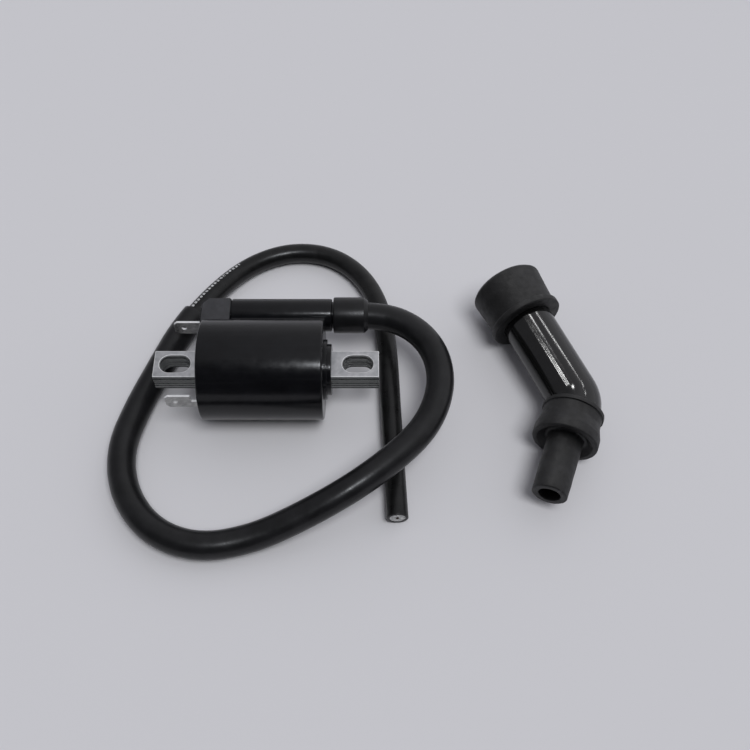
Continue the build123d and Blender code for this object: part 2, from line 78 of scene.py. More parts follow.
# ------------------------------------------------------------------ sizes
# The housing, read from the frame.
core_low, core_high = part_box("core_laminations")
axis_z = (core_low.z + core_high.z) / 2
resin_low, resin_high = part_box("potting_resin")
body_left = resin_low.x
cavity_radius = resin_high.y
cavity_end = resin_high.x
body_wall = 1.8 * MM
body_radius = cavity_radius + body_wall
body_right = cavity_end + 2.0 * MM
ferrule_low, ferrule_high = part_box("tower_ferrule")
tower_y = (ferrule_low.y + ferrule_high.y) / 2
ferrule_radius = (ferrule_high.y - ferrule_low.y) / 2
lead_radius = 3.5 * MM
sleeve_radius = 4.6 * MM
sleeve_bore = 3.55 * MM

# The spark plug cap: two arms that meet at a bend, lying on its skirt and on the plug boot's lip.
cap_radius = 8.7 * MM
skirt_radius = 10.8 * MM
mouth_radius = 12.6 * MM
neck_radius = 11.6 * MM
lip_radius = 12.6 * MM
boot_start = 34.0 * MM
socket_arm = 50.4 * MM
lead_arm = 35.9 * MM
cap_bend = Vector((102.3, -9.1, 10.8)) * MM
lead_heading = radians(-109.7)
cap_angle = radians(44.2)
cap_roll = asin((lip_radius - skirt_radius) / (boot_start * sin(cap_angle)))
lead_direction = Vector((cos(lead_heading), sin(lead_heading), 0))
cap_normal = Matrix.Rotation(-cap_roll, 3, lead_direction) @ Z
socket_direction = Matrix.Rotation(cap_angle, 3, cap_normal) @ -lead_direction


# ------------------------------------------------------------------ mesh helpers
def as_object(name, mesh, sharp_angle=32):
    """Put a mesh in the scene, smooth-shaded but for its sharp edges."""
    mesh.shade_smooth()
    mesh.set_sharp_from_angle(angle=radians(sharp_angle))
    piece = bpy.data.objects.new(name, mesh)
    bpy.context.scene.collection.objects.link(piece)
    return piece


def skin(name, rings, lengths=None, closed=True, sharp_angle=32):
    """Join rings of points into one closed surface; a ring of one point is a pole.

    The UV map holds the ring's length along the piece and the share of a turn round it.
    """
    shape = bmesh.new()
    uv_layer = shape.loops.layers.uv.new("along")
    lengths = lengths or [0.0] * len(rings)
    rows = [[shape.verts.new(point) for point in ring] for ring in rings]
    pairs = list(range(len(rows) - 1))
    if closed:
        pairs.append(len(rows) - 1)
    turns = max(len(row) for row in rows)
    for first in pairs:
        second = (first + 1) % len(rows)
        low, high = rows[first], rows[second]
        for index in range(turns):
            after = (index + 1) % turns
            corners = []
            if len(low) > 1:
                corners += [(low[index], first, index), (low[after], first, index + 1)]
            else:
                corners += [(low[0], first, index)]
            if len(high) > 1:
                corners += [(high[after], second, index + 1), (high[index], second, index)]
            else:
                corners += [(high[0], second, index)]
            if len(corners) < 3:
                continue
            face = shape.faces.new([corner[0] for corner in corners])
            for loop, corner in zip(face.loops, corners):
                loop[uv_layer].uv = (lengths[corner[1]], corner[2] / turns)
    bmesh.ops.recalc_face_normals(shape, faces=shape.faces)
    mesh = bpy.data.meshes.new(name)
    shape.to_mesh(mesh)
    shape.free()
    return as_object(name, mesh, sharp_angle)


def rounded(corners, steps=6):
    """Turn a loop of (along, radius, fillet) corners into points, with an arc at each fillet."""
    points = []
    count = len(corners)
    for index, (along, radius, fillet) in enumerate(corners):
        corner = Vector((along, radius))
        if fillet <= 0:
            points.append(corner)
            continue
        before = Vector(corners[index - 1][:2]) - corner
        after = Vector(corners[(index + 1) % count][:2]) - corner
        half = before.angle(after) / 2
        reach = min(fillet / tan(half), 0.48 * before.length, 0.48 * after.length)
        arc_radius = reach * tan(half)
        middle = (before.normalized() + after.normalized()).normalized()
        centre = corner + middle * (arc_radius / sin(half))
        start = corner + before.normalized() * reach - centre
        end = corner + after.normalized() * reach - centre
        sweep = start.angle_signed(end)
        for step in range(steps + 1):
            turn = -sweep * step / steps
            points.append(centre + Matrix.Rotation(turn, 2) @ start)
    return points


def lathe(name, origin, axis, outline, turns, ragged=None):
    """A closed solid turned about an axis.  ragged moves a point a little, for soft rubber edges."""
    side = axis.cross(Z).normalized()
    up = side.cross(axis).normalized()
    rings = []
    lengths = []
    for point in outline:
        along, radius = point[0], point[1]
        lengths.append(along)
        centre = origin + axis * along
        if radius < TINY:
            rings.append([centre])
            continue
        ring = []
        for index in range(turns):
            angle = 2 * pi * index / turns
            outward = side * cos(angle) + up * sin(angle)
            place = centre + outward * radius
            if ragged:
                place += ragged(place, outward)
            ring.append(place)
        rings.append(ring)
    return skin(name, rings, lengths, closed=outline[0][1] > TINY)


def plate(name, splines, half_thickness, bevel, placement):
    """A flat sheet with rounded edges: the first spline is its outline, the others its holes."""
    curve = bpy.data.curves.new(name, "CURVE")
    curve.dimensions = "2D"
    curve.fill_mode = "BOTH"
    curve.extrude = half_thickness - bevel
    curve.bevel_depth = bevel
    curve.bevel_resolution = 2
    curve.offset = -bevel
    for points in splines:
        spline = curve.splines.new("POLY")
        spline.points.add(len(points) - 1)
        for place, point in zip(spline.points, points):
            place.co = (point[0], point[1], 0, 1)
        spline.use_cyclic_u = True
    holder = bpy.data.objects.new(name + "_curve", curve)
    bpy.context.scene.collection.objects.link(holder)
    mesh = bpy.data.meshes.new_from_object(holder)
    bpy.data.objects.remove(holder)
    mesh.transform(placement)
    shape = bmesh.new()
    shape.from_mesh(mesh)
    bmesh.ops.remove_doubles(shape, verts=shape.verts, dist=TINY)
    bmesh.ops.recalc_face_normals(shape, faces=shape.faces)
    shape.to_mesh(mesh)
    shape.free()
    mesh.name = name
    return as_object(name, mesh, sharp_angle=14)


def combine(target, others, operation):
    """Add or cut other closed pieces into the target, and drop them."""
    for other in others:
        step = target.modifiers.new("combine", "BOOLEAN")
        step.operation = operation
        step.object = other
        step.solver = "EXACT"
        graph = bpy.context.evaluated_depsgraph_get()
        mesh = bpy.data.meshes.new_from_object(target.evaluated_get(graph))
        target.modifiers.clear()
        target.data = mesh
        bpy.data.objects.remove(other)
    target.data.shade_smooth()
    target.data.set_sharp_from_angle(angle=radians(13))


def rounded_rectangle(width, height, corner):
    half_w, half_h = width / 2, height / 2
    corners = [(half_w, -half_h, corner), (half_w, half_h, corner)]
    corners += [(-half_w, half_h, corner), (-half_w, -half_h, corner)]
    return rounded(corners, steps=5)


def slot_outline(centre_x, length, width, steps=16):
    """A round-ended slot along X."""
    radius = width / 2
    points = []
    for side, start in ((1, -90), (-1, 90)):
        middle = centre_x + side * (length / 2 - radius)
        for step in range(steps + 1):
            angle = radians(start + 180 * step / steps)
            points.append((middle + radius * cos(angle), radius * sin(angle)))
    return points


def circle_outline(centre_x, centre_y, radius, steps=28):
    points = []
    for step in range(steps):
        angle = 2 * pi * step / steps
        points.append((centre_x + radius * cos(angle), centre_y + radius * sin(angle)))
    return points


# ------------------------------------------------------------------ material helpers
def add_node(tree, kind, values=(), **settings):
    """A node with its settings and its input values."""
    item = tree.nodes.new("ShaderNode" + kind)
    for name, value in settings.items():
        setattr(item, name, value)
    for name, value in dict(values).items():
        item.inputs[name].default_value = value
    return item


def grain(tree, scale, detail=4.0, stretch=(1, 1, 1)):
    """Noise in the object's own space."""
    coordinates = add_node(tree, "TexCoord")
    mapping = add_node(tree, "Mapping", {"Scale": stretch})
    texture = add_node(tree, "TexNoise", {"Scale": scale, "Detail": detail, "Roughness": 0.55})
    tree.links.new(coordinates.outputs["Object"], mapping.inputs["Vector"])
    tree.links.new(mapping.outputs["Vector"], texture.inputs["Vector"])
    return texture.outputs["Fac"]


def remap(tree, source, low, high, to_low, to_high):
    """Stretch the part of a value between low and high onto a new range."""
    item = add_node(
        tree,
        "MapRange",
        {"From Min": low, "From Max": high, "To Min": to_low, "To Max": to_high},
    )
    tree.links.new(source, item.inputs["Value"])
    return item.outputs["Result"]


def blend_colours(tree, factor, first, second):
    """Mix two colours, each a constant or the output of another mix."""
    item = add_node(tree, "Mix", data_type="RGBA")
    tree.links.new(factor, item.inputs["Factor"])
    sockets = [socket for socket in item.inputs if socket.type == "RGBA"]
    for socket, colour in zip(sockets, (first, second)):
        if isinstance(colour, tuple):
            socket.default_value = (*colour, 1)
        else:
            tree.links.new(colour, socket)
    return [socket for socket in item.outputs if socket.type == "RGBA"][0]


def add_bump(tree, height, distance, under=None):
    item = add_node(tree, "Bump", {"Distance": distance, "Strength": 1.0})
    tree.links.new(height, item.inputs["Height"])
    if under is not None:
        tree.links.new(under, item.inputs["Normal"])
    return item.outputs["Normal"]


def arithmetic(tree, operation, first, second):
    """One step of sums on two values, each a number or an output."""
    item = add_node(tree, "Math", operation=operation)
    for socket, value in zip(item.inputs, (first, second)):
        if isinstance(value, (int, float)):
            socket.default_value = value
        else:
            tree.links.new(value, socket)
    return item.outputs["Value"]


def surface(name, dark, light, rough, metal=0.0, mottle=250, bump=(), wear_and_edge_highlight=0.0, streaks=None, **inputs):
    """A material with mottled colour, uneven roughness, layered bumps and lighter edges, part wear and part a
    painted highlight where edges catch the light.

    rough is the lowest and the highest roughness.  bump lists (scale, distance, stretch) layers.
    streaks is (scale, stretch, strength): fine lines that lighten the colour.
    """
    material = bpy.data.materials.new(name)
    material.use_nodes = True
    tree = material.node_tree
    shader = tree.nodes["Principled BSDF"]
    shader.inputs["Metallic"].default_value = metal
    for key, value in inputs.items():
        shader.inputs[key.replace("_", " ").title().replace("Ior", "IOR")].default_value = value
    patches = grain(tree, mottle, detail=6.0)
    colour = blend_colours(tree, remap(tree, patches, 0.35, 0.68, 0, 1), dark, light)
    if streaks:
        lines = grain(tree, streaks[0], detail=3.0, stretch=streaks[1])
        lit = remap(tree, lines, 0.52, 0.78, 0, streaks[2])
        colour = blend_colours(tree, lit, colour, tuple(min(1.0, 2.2 * c + 0.03) for c in light))
    # Lighter edges found by pointiness: part wear, part a painted highlight on edges that catch the light.
    if wear_and_edge_highlight:
        edges = add_node(tree, "NewGeometry").outputs["Pointiness"]
        worn_and_highlit = remap(tree, edges, 0.515, 0.6, 0, wear_and_edge_highlight)
        colour = blend_colours(tree, worn_and_highlit, colour, tuple(min(1.0, 1.8 * c + 0.02) for c in light))
    tree.links.new(colour, shader.inputs["Base Color"])
    patches = grain(tree, mottle * 2.3, detail=5.0)
    tree.links.new(remap(tree, patches, 0.3, 0.7, rough[0], rough[1]), shader.inputs["Roughness"])
    normal = None
    for scale, distance, stretch in bump:
        normal = add_bump(tree, grain(tree, scale, stretch=stretch), distance, under=normal)
    if normal is not None:
        tree.links.new(normal, shader.inputs["Normal"])
    return material


EVEN = (1, 1, 1)
ALONG_X = (0.03, 1, 1)


# ------------------------------------------------------------------ materials
# The print marks: their spacing, and where they lie along the lead and round it.
MARK_PITCH = 1.5 * MM
MARK_SHARE = 0.6
MARKS_START = 253.5 * MM
MARKS_END = 278 * MM
MARK_LOW_TURN = 0.285
MARK_HIGH_TURN = 0.335


def jacket_material():
    """Smooth black jacket with a row of small plain print marks on a stretch of its back."""
    material = surface(
        "lead_jacket",
        (0.006, 0.006, 0.006),
        (0.012, 0.012, 0.012),
        (0.26, 0.36),
        bump=[(2600, 0.000012, EVEN), (170, 0.00012, EVEN)],
        specular_ior_level=0.32,
    )
    tree = material.node_tree
    shader = tree.nodes["Principled BSDF"]
    coordinates = add_node(tree, "TexCoord")
    parts = add_node(tree, "SeparateXYZ")
    tree.links.new(coordinates.outputs["UV"], parts.inputs["Vector"])
    along, turn = parts.outputs["X"], parts.outputs["Y"]
    cell = arithmetic(tree, "FRACT", arithmetic(tree, "DIVIDE", along, MARK_PITCH), 0)
    mark = arithmetic(tree, "LESS_THAN", cell, MARK_SHARE)
    ragged = grain(tree, 3000, detail=2.0)
    mark = arithmetic(tree, "MULTIPLY", mark, arithmetic(tree, "GREATER_THAN", ragged, 0.44))
    for value, low, high in ((along, MARKS_START, MARKS_END), (turn, MARK_LOW_TURN, MARK_HIGH_TURN)):
        mark = arithmetic(tree, "MULTIPLY", mark, arithmetic(tree, "GREATER_THAN", value, low))
        mark = arithmetic(tree, "MULTIPLY", mark, arithmetic(tree, "LESS_THAN", value, high))
    base = shader.inputs["Base Color"].links[0].from_socket
    tree.links.new(blend_colours(tree, mark, base, (0.7, 0.7, 0.7)), shader.inputs["Base Color"])
    return material


housing_plastic = surface(
    "housing_plastic",
    (0.0035, 0.0036, 0.0044),
    (0.006, 0.0062, 0.0076),
    (0.16, 0.22),
    mottle=180,
    bump=[(5200, 0.000010, EVEN), (420, 0.00003, EVEN)],
    # Lighter edges: wear, and a painted highlight along the bevels that catch the light.
    wear_and_edge_highlight=0.5,
    streaks=(900, ALONG_X, 0.10),
    specular_ior_level=0.3,
)
# A lighter, rougher copy of the housing plastic for the terminal block's flat top: painted light on the top
# face.
block_top_painted_light = surface(
    "housing_block_top_painted_lighter",
    (0.026, 0.026, 0.029),
    (0.042, 0.042, 0.046),
    (0.42, 0.56),
    mottle=300,
    bump=[(4200, 0.000012, EVEN)],
)
resin = surface(
    "resin",
    (0.010, 0.010, 0.011),
    (0.022, 0.022, 0.023),
    (0.16, 0.34),
    mottle=120,
    bump=[(160, 0.00022, EVEN), (900, 0.00003, EVEN)],
)
core_steel = surface(
    "core_steel",
    (0.44, 0.45, 0.46),
    (0.62, 0.62, 0.63),
    (0.30, 0.44),
    metal=1.0,
    mottle=420,
    bump=[(2400, 0.000012, ALONG_X), (700, 0.00002, EVEN)],
)
# The strips' side faces: dark as cut edges, and darkened further as painted shade in the slots and on faces
# turned from the light.
cut_steel_and_painted_shade = surface(
    "core_steel_edges_painted_shade",
    (0.035, 0.038, 0.035),
    (0.075, 0.08, 0.075),
    (0.38, 0.58),
    metal=1.0,
    mottle=700,
    bump=[(3000, 0.00002, (1, 1, 0.2))],
)
blade_metal = surface(
    "blade_metal",
    (0.28, 0.28, 0.275),
    (0.46, 0.46, 0.45),
    (0.24, 0.40),
    metal=1.0,
    mottle=600,
    bump=[(2600, 0.00001, ALONG_X)],
)
# Near-white paint for the bevel faces of the core strips and the blades: a painted highlight along edges that
# catch the light.
edge_highlight_paint = surface(
    "painted_edge_highlight",
    (0.80, 0.80, 0.80),
    (0.95, 0.95, 0.94),
    (0.50, 0.62),
    metal=0.35,
    mottle=900,
    bump=[(3000, 0.00001, EVEN)],
)
sleeve_rubber = surface(
    "sleeve_rubber",
    (0.007, 0.007, 0.0075),
    (0.013, 0.013, 0.014),
    (0.28, 0.38),
    mottle=160,
    bump=[(2200, 0.000014, EVEN), (140, 0.00012, EVEN)],
    specular_ior_level=0.32,
)
lead_jacket = jacket_material()
insulation = surface(
    "insulation",
    (0.30, 0.30, 0.30),
    (0.78, 0.78, 0.76),
    (0.6, 0.8),
    mottle=1300,
    bump=[(2600, 0.00008, EVEN)],
)
copper = surface(
    "copper_wire",
    (0.50, 0.20, 0.08),
    (0.76, 0.36, 0.14),
    (0.24, 0.4),
    metal=1.0,
    mottle=500,
    bump=[(60, 0.00004, (160, 1, 1))],
)
dull_copper = surface(
    "dull_copper",
    (0.03, 0.02, 0.015),
    (0.10, 0.07, 0.05),
    (0.4, 0.6),
    metal=1.0,
    mottle=1500,
    bump=[(2600, 0.00002, EVEN)],
)
bobbin_plastic = surface(
    "bobbin_plastic",
    (0.58, 0.56, 0.48),
    (0.76, 0.74, 0.66),
    (0.4, 0.55),
    bump=[(3000, 0.00001, EVEN)],
)
paper = surface(
    "paper",
    (0.42, 0.33, 0.20),
    (0.62, 0.52, 0.36),
    (0.6, 0.85),
    bump=[(1800, 0.00004, EVEN)],
)
brass = surface(
    "contact_brass",
    (0.55, 0.38, 0.14),
    (0.80, 0.60, 0.28),
    (0.2, 0.36),
    metal=1.0,
    mottle=500,
    bump=[(2000, 0.00001, EVEN)],
)
ceramic = surface(
    "ceramic",
    (0.62, 0.60, 0.54),
    (0.82, 0.80, 0.75),
    (0.6, 0.8),
    bump=[(2500, 0.00002, EVEN)],
)
spring_steel = surface(
    "spring_steel",
    (0.45, 0.45, 0.46),
    (0.70, 0.70, 0.70),
    (0.2, 0.34),
    metal=1.0,
    mottle=700,
    bump=[(2500, 0.00001, EVEN)],
)
cap_plastic = surface(
    "cap_plastic",
    (0.008, 0.008, 0.008),
    (0.012, 0.012, 0.012),
    (0.08, 0.13),
    mottle=260,
    bump=[(600, 0.000003, EVEN), (110, 0.00002, EVEN)],
)
boot_rubber = surface(
    "boot_rubber",
    (0.008, 0.008, 0.008),
    (0.020, 0.020, 0.021),
    (0.48, 0.64),
    mottle=210,
    bump=[(2400, 0.00004, EVEN), (420, 0.00012, EVEN)],
    wear_and_edge_highlight=0.6,
)

CAD_FINISH = {
    "potting_resin": resin,
    "feed_wire": copper,
    "ground_wire": copper,
    "primary_winding": copper,
    "primary_bobbin": bobbin_plastic,
    "secondary_bobbin": bobbin_plastic,
    "insulating_paper": paper,
    "ht_link_wire": copper,
    "tower_contact": brass,
    "lead_clamped_end": lead_jacket,
    "contact_plate": brass,
    "resistor": ceramic,
    "resistor_cap_inner": brass,
    "resistor_cap_outer": brass,
    "contact_spring": spring_steel,
    "plug_terminal": brass,
    "terminal_clip": spring_steel,
    "lead_screw": brass,
}


def dress(piece, material, body, replaces=()):
    """Give a new piece its material, its body and the CAD nodes it stands for."""
    piece.data.materials.clear()
    piece.data.materials.append(material)
    if replaces:
        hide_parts(*replaces)
    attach(piece, body)
    return piece


def finish_cad_nodes():
    for name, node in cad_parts.items():
        material = copper if name.startswith("secondary_winding") else CAD_FINISH.get(name)
        if material:
            node.data.materials.clear()
            node.data.materials.append(material)


# ------------------------------------------------------------------ cords
axis_mm = axis_z / MM
tower_mm = tower_y / MM
# Routes are in millimetres.
SLEEVE_FLOOR = 4.7
LEAD_FLOOR = 3.6
SLEEVE_ROUTE = [
    (27.0, tower_mm, axis_mm),
    (38.0, tower_mm, axis_mm),
    (48.2, 17.4, 16.4),
    (54.9, 9.4, 16.2),
    (57.6, -0.9, 16.0),
    (56.2, -11.9, 15.7),
    (51.0, -22.6, 15.4),
    (41.6, -32.2, 15.2),
    (29.0, -42.0, 14.4),
    (13.4, -49.4, 9.6),
    (-2.8, -55.2, SLEEVE_FLOOR),
    (-19.6, -58.2, SLEEVE_FLOOR),
    (-34.5, -52.7, SLEEVE_FLOOR),
    (-44.7, -39.8, SLEEVE_FLOOR),
    (-48.1, -23.7, SLEEVE_FLOOR),
    (-44.1, -7.4, SLEEVE_FLOOR),
    (-38.0, 9.4, SLEEVE_FLOOR),
    (-32.9, 23.2, SLEEVE_FLOOR),
]
LEAD_TAIL_ROUTE = [
    (-23.8, 38.6, SLEEVE_FLOOR),
    (-11.5, 53.2, LEAD_FLOOR),
    (3.1, 60.0, LEAD_FLOOR),
    (18.0, 58.9, LEAD_FLOOR),
    (29.7, 50.5, LEAD_FLOOR),
    (37.0, 36.9, LEAD_FLOOR),
    (40.0, 19.2, LEAD_FLOOR),
    (41.2, -14.4, LEAD_FLOOR),
    (42.8, -47.7, LEAD_FLOOR),
]
SLEEVE_END_SHARE = 0.48


def spline_points(name, route):
    """Points along the smooth line of a route, read from a NURBS spline, in metres."""
    curve = bpy.data.curves.new(name, "CURVE")
    curve.dimensions = "3D"
    curve.resolution_u = 20
    spline = curve.splines.new("NURBS")
    spline.points.add(len(route) - 1)
    for place, point in zip(spline.points, route):
        place.co = (*(Vector(point) * MM), 1)
    spline.order_u = 3
    spline.use_endpoint_u = True
    holder = bpy.data.objects.new(name + "_line", curve)
    bpy.context.scene.collection.objects.link(holder)
    mesh = bpy.data.meshes.new_from_object(holder)
    points = [vertex.co.copy() for vertex in mesh.vertices]
    bpy.data.objects.remove(holder)
    return points


class Line:
    """A line of points that can be read at any length along it."""

    def __init__(self, points):
        self.points = points
        self.marks = [0.0]
        for before, after in zip(points, points[1:]):
            self.marks.append(self.marks[-1] + (after - before).length)
        self.length = self.marks[-1]

    def at(self, distance):
        """Place and heading at a distance; past either end the line goes straight on."""
        inside = min(max(distance, 0.0), self.length)
        index = min(bisect_right(self.marks, inside) - 1, len(self.marks) - 2)
        start, end = self.points[index], self.points[index + 1]
        heading = (end - start).normalized()
        return start + heading * (distance - self.marks[index]), heading


def tube(name, line, profile, turns=56):
    """A closed skin round a line.  profile is a list of (distance, radius); radius 0 is a pole."""
    rings = []
    lengths = []
    for distance, radius in profile:
        place, _ = line.at(distance)
        before, _ = line.at(distance - 0.6 * MM)
        after, _ = line.at(distance + 0.6 * MM)
        heading = (after - before).normalized()
        side = heading.cross(Z).normalized()
        up = side.cross(heading).normalized()
        lengths.append(distance)
        if radius < TINY:
            rings.append([place])
            continue
        ring = []
        for index in range(turns):
            angle = 2 * pi * index / turns
            ring.append(place + (side * cos(angle) + up * sin(angle)) * radius)
        rings.append(ring)
    return skin(name, rings, lengths, closed=profile[0][1] > TINY, sharp_angle=40)


def even_steps(start, end, step):
    count = max(1, round(abs(end - start) / step))
    return [start + (end - start) * index / count for index in range(count + 1)]


def make_sleeve():
    end = Vector(SLEEVE_ROUTE[-1]).lerp(Vector(LEAD_TAIL_ROUTE[0]), SLEEVE_END_SHARE)
    points = spline_points("sleeve", SLEEVE_ROUTE + [tuple(end)])
    line = Line(points)
    edge = 0.35 * MM
    outer = even_steps(0, line.length - edge, 1.2 * MM)
    profile = [(distance, sleeve_radius) for distance in outer]
    profile += [(line.length - 0.1 * MM, sleeve_radius - 0.1 * MM), (line.length, sleeve_radius - edge)]
    profile += [(line.length, sleeve_bore + 0.15 * MM), (line.length - 0.15 * MM, sleeve_bore)]
    profile += [(distance, sleeve_bore) for distance in even_steps(line.length - 1 * MM, 0, 3 * MM)]
    piece = tube("cord_sleeve", line, profile)
    dress(piece, sleeve_rubber, "coil", ["lead_sleeve"])
    return piece


def make_lead():
    points = spline_points("lead", SLEEVE_ROUTE + LEAD_TAIL_ROUTE)
    line = Line(points)
    end = line.length
    wall = 0.85 * MM
    profile = [(0, 0), (0, lead_radius - 0.1 * MM)]
    profile += [(distance, lead_radius) for distance in even_steps(0.1 * MM, end - 0.25 * MM, 1.2 * MM)]
    profile += [(end - 0.08 * MM, lead_radius - 0.06 * MM), (end, lead_radius - 0.22 * MM)]
    profile += [(end, lead_radius - wall), (end - 4 * MM, lead_radius - wall), (end - 4 * MM, 0)]
    jacket = dress(tube("cord_lead", line, profile), lead_jacket, "coil", ["ht_lead"])

    face = end - 0.12 * MM
    inner = lead_radius - wall - 0.02 * MM
    profile = [(end - 3.8 * MM, 0), (end - 3.8 * MM, inner), (face - 0.15 * MM, inner)]
    profile += [(face, inner - 0.15 * MM), (face + 0.03 * MM, 0.9 * MM), (face - 0.1 * MM, 0.55 * MM)]
    profile += [(face - 0.1 * MM, 0)]
    core = dress(tube("lead_insulation", line, profile, turns=40), insulation, "coil")

    # One strand in the middle and six round it.
    strands = []
    place, heading = line.at(end)
    side = heading.cross(Z).normalized()
    up = side.cross(heading).normalized()
    for index in range(7):
        angle = index * pi / 3
        reach = 0.32 * MM if index else 0.0
        start = place - heading * 3 * MM + (side * cos(angle) + up * sin(angle)) * reach
        tip = 3.02 * MM + 0.05 * MM * (index % 3)
        outline = [(0, 0), (0, 0.15 * MM), (tip - 0.05 * MM, 0.15 * MM), (tip, 0.1 * MM), (tip, 0)]
        strands.append(lathe(f"lead_strand_{index + 1}", start, heading, outline, turns=12))
    for strand in strands:
        dress(strand, dull_copper, "coil")
    return [jacket, core, *strands]


# ------------------------------------------------------------------ coil
def make_core():
    """Twelve punched strips, each a little off its neighbours, as they are riveted together."""
    strips = 12
    pitch = (core_high.z - core_low.z) / strips
    length = core_high.x - core_low.x
    width = core_high.y - core_low.y
    slot_spacing = 60 * MM
    slot_length = 10.2 * MM
    slot_width = 6.6 * MM
    half_gap = 0.012 * MM
    play = 0.05 * MM
    inset = 0.06 * MM
    corner = 0.25 * MM
    top_edge = 0.26 * MM
    inner_edge = 0.05 * MM
    made = []
    for index in range(strips):
        shift_x = play * noise.noise(Vector((index * 1.7, 0.3, 0)))
        shift_y = play * noise.noise(Vector((index * 2.3, 5.1, 0)))
        outline = rounded_rectangle(length - inset, width - inset, corner)
        holes = [slot_outline(side * slot_spacing / 2, slot_length, slot_width) for side in (-1, 1)]
        height = core_low.z + pitch * (index + 0.5)
        placement = Matrix.Translation((shift_x, shift_y, height))
        soft = top_edge if index == strips - 1 else inner_edge
        half_strip = pitch / 2 - half_gap
        strip = plate(f"core_strip_{index + 1}", [outline, *holes], half_strip, soft, placement)
        replaced = ["core_laminations"] if index == 0 else []
        dress(strip, core_steel, "coil", replaced)
        # Side faces take the cut-edge steel with its painted shade.
        strip.data.materials.append(cut_steel_and_painted_shade)
        # Sloped bevel faces on the strip's top take the painted edge highlight.
        strip.data.materials.append(edge_highlight_paint)
        for face in strip.data.polygons:
            if abs(face.normal.z) < 0.3:
                face.material_index = 1
            elif 0 < face.normal.z < 0.98:
                face.material_index = 2
        made.append(strip)
    return made


def box_piece(name, low, high, corner):
    """A block along X with rounded long edges."""
    outline = rounded_rectangle(high.y - low.y, high.z - low.z, corner)
    centre_y, centre_z = (low.y + high.y) / 2, (low.z + high.z) / 2
    inset = corner * 0.5
    rings = []
    for along, shrink in ((low.x, inset), (low.x + inset, 0), (high.x - inset, 0), (high.x, inset)):
        scale_y = 1 - 2 * shrink / (high.y - low.y)
        scale_z = 1 - 2 * shrink / (high.z - low.z)
        rings.append([Vector((along, centre_y + p[0] * scale_y, centre_z + p[1] * scale_z)) for p in outline])
    rings.insert(0, [Vector((low.x, centre_y, centre_z))])
    rings.append([Vector((high.x, centre_y, centre_z))])
    return skin(name, rings, closed=False)


def make_housing():
    """The moulded shell: body, boss, web, tower with its spigot, and the terminal block."""
    edge = 0.7 * MM
    small = 0.3 * MM
    boss_outer = 10.0 * MM
    boss_inner = 8.5 * MM
    boss_step = 1.1 * MM
    boss_end = body_right + 2.5 * MM
    middle_hole = 2 * MM
    outline = rounded(
        [
            (body_left, cavity_radius, small),
            (body_left, body_radius, edge),
            (body_right, body_radius, edge),
            (body_right, boss_outer, 0),
            (body_right + boss_step, boss_outer, small),
            (body_right + boss_step, boss_inner, 0),
            (boss_end, boss_inner, small),
            (boss_end, middle_hole, 0),
            (cavity_end, middle_hole, 0),
            (cavity_end, cavity_radius, 0),
        ],
        steps=8,
    )
    centre = Vector((0, 0, axis_z))
    body = lathe("coil_housing", centre, X, outline, turns=192)

    tower_radius = 5.6 * MM
    tower_left = body_left + 8.2 * MM
    tower_right = body_right + 2.1 * MM
    spigot_end = tower_right + 6 * MM
    bore_start = 4.9 * MM
    outline = rounded(
        [
            (tower_left, 0, 0),
            (tower_left, tower_radius, small),
            (tower_right, tower_radius, edge),
            (tower_right, sleeve_radius, 0),
            (spigot_end, sleeve_radius, small),
            (spigot_end, sleeve_bore, 0),
            (bore_start, sleeve_bore, 0),
            (bore_start, 0, 0),
        ],
        steps=8,
    )
    tower = lathe("tower", Vector((0, tower_y, axis_z)), X, outline, turns=120)

    half_web = 4.0 * MM
    web_low = Vector((tower_left, body_radius - 3 * MM, axis_z - half_web))
    web_high = Vector((body_right - 0.2 * MM, tower_y, axis_z + half_web))
    web = box_piece("web", web_low, web_high, 0.4 * MM)

    half_block = 5.4 * MM
    block_left = body_left - 2.0 * MM
    block_right = block_left + 10.2 * MM
    block_front = body_radius - 1.5 * MM
    block_back = tower_y + 3.6 * MM
    cut = 2.2 * MM
    corner = 0.9 * MM
    footprint = rounded(
        [
            (block_right, block_front, corner / 2),
            (block_right, block_back, corner),
            (block_left + cut, block_back, corner),
            (block_left, block_back - cut, corner),
            (block_left, block_front, corner),
        ],
        steps=6,
    )
    middle = Vector(((block_left + block_right) / 2, (block_front + block_back) / 2, 0))
    soft = 0.5 * MM
    # How deep each ring of the soft edge lies, and how far it is drawn in; the first is on the flat.
    edge_rings = [(0, soft + 0.2 * MM), (0, soft), (0.3 * soft, 0.3 * soft), (soft, 0)]
    levels = [(depth - half_block, inset) for depth, inset in edge_rings]
    levels += [(half_block - depth, inset) for depth, inset in reversed(edge_rings)]
    rings = [[middle + Z * (axis_z - half_block)]]
    for height, inset in levels:
        rings.append(block_ring(footprint, middle, axis_z + height, inset))
    rings.append([middle + Z * (axis_z + half_block)])
    block = skin("block", rings, closed=False)

    combine(body, [tower, web, block], "UNION")
    clear = 0.05 * MM
    passage_low = Vector((cavity_end - 2 * MM, core_low.y - clear, core_low.z - clear))
    passage_high = Vector((boss_end + 2 * MM, core_high.y + clear, core_high.z + clear))
    passage = box_piece("passage", passage_low, passage_high, 0.2 * MM)
    flat_low = Vector((body_left - 5 * MM, -body_radius, -5 * MM))
    flat_high = Vector((body_right + 5 * MM, body_radius, 0))
    rest_flat = box_piece("rest_flat", flat_low, flat_high, 0.1 * MM)
    combine(body, [passage, rest_flat], "DIFFERENCE")
    dress(body, housing_plastic, "coil", ["housing"])
    body.data.materials.append(block_top_painted_light)
    # The block's upward faces take the lighter copy: painted light on its top.
    for face in body.data.polygons:
        on_block = face.center.x < block_right - 0.2 * MM and face.center.y > block_front
        if on_block and face.normal.z > 0.99:
            face.material_index = 1
    return body


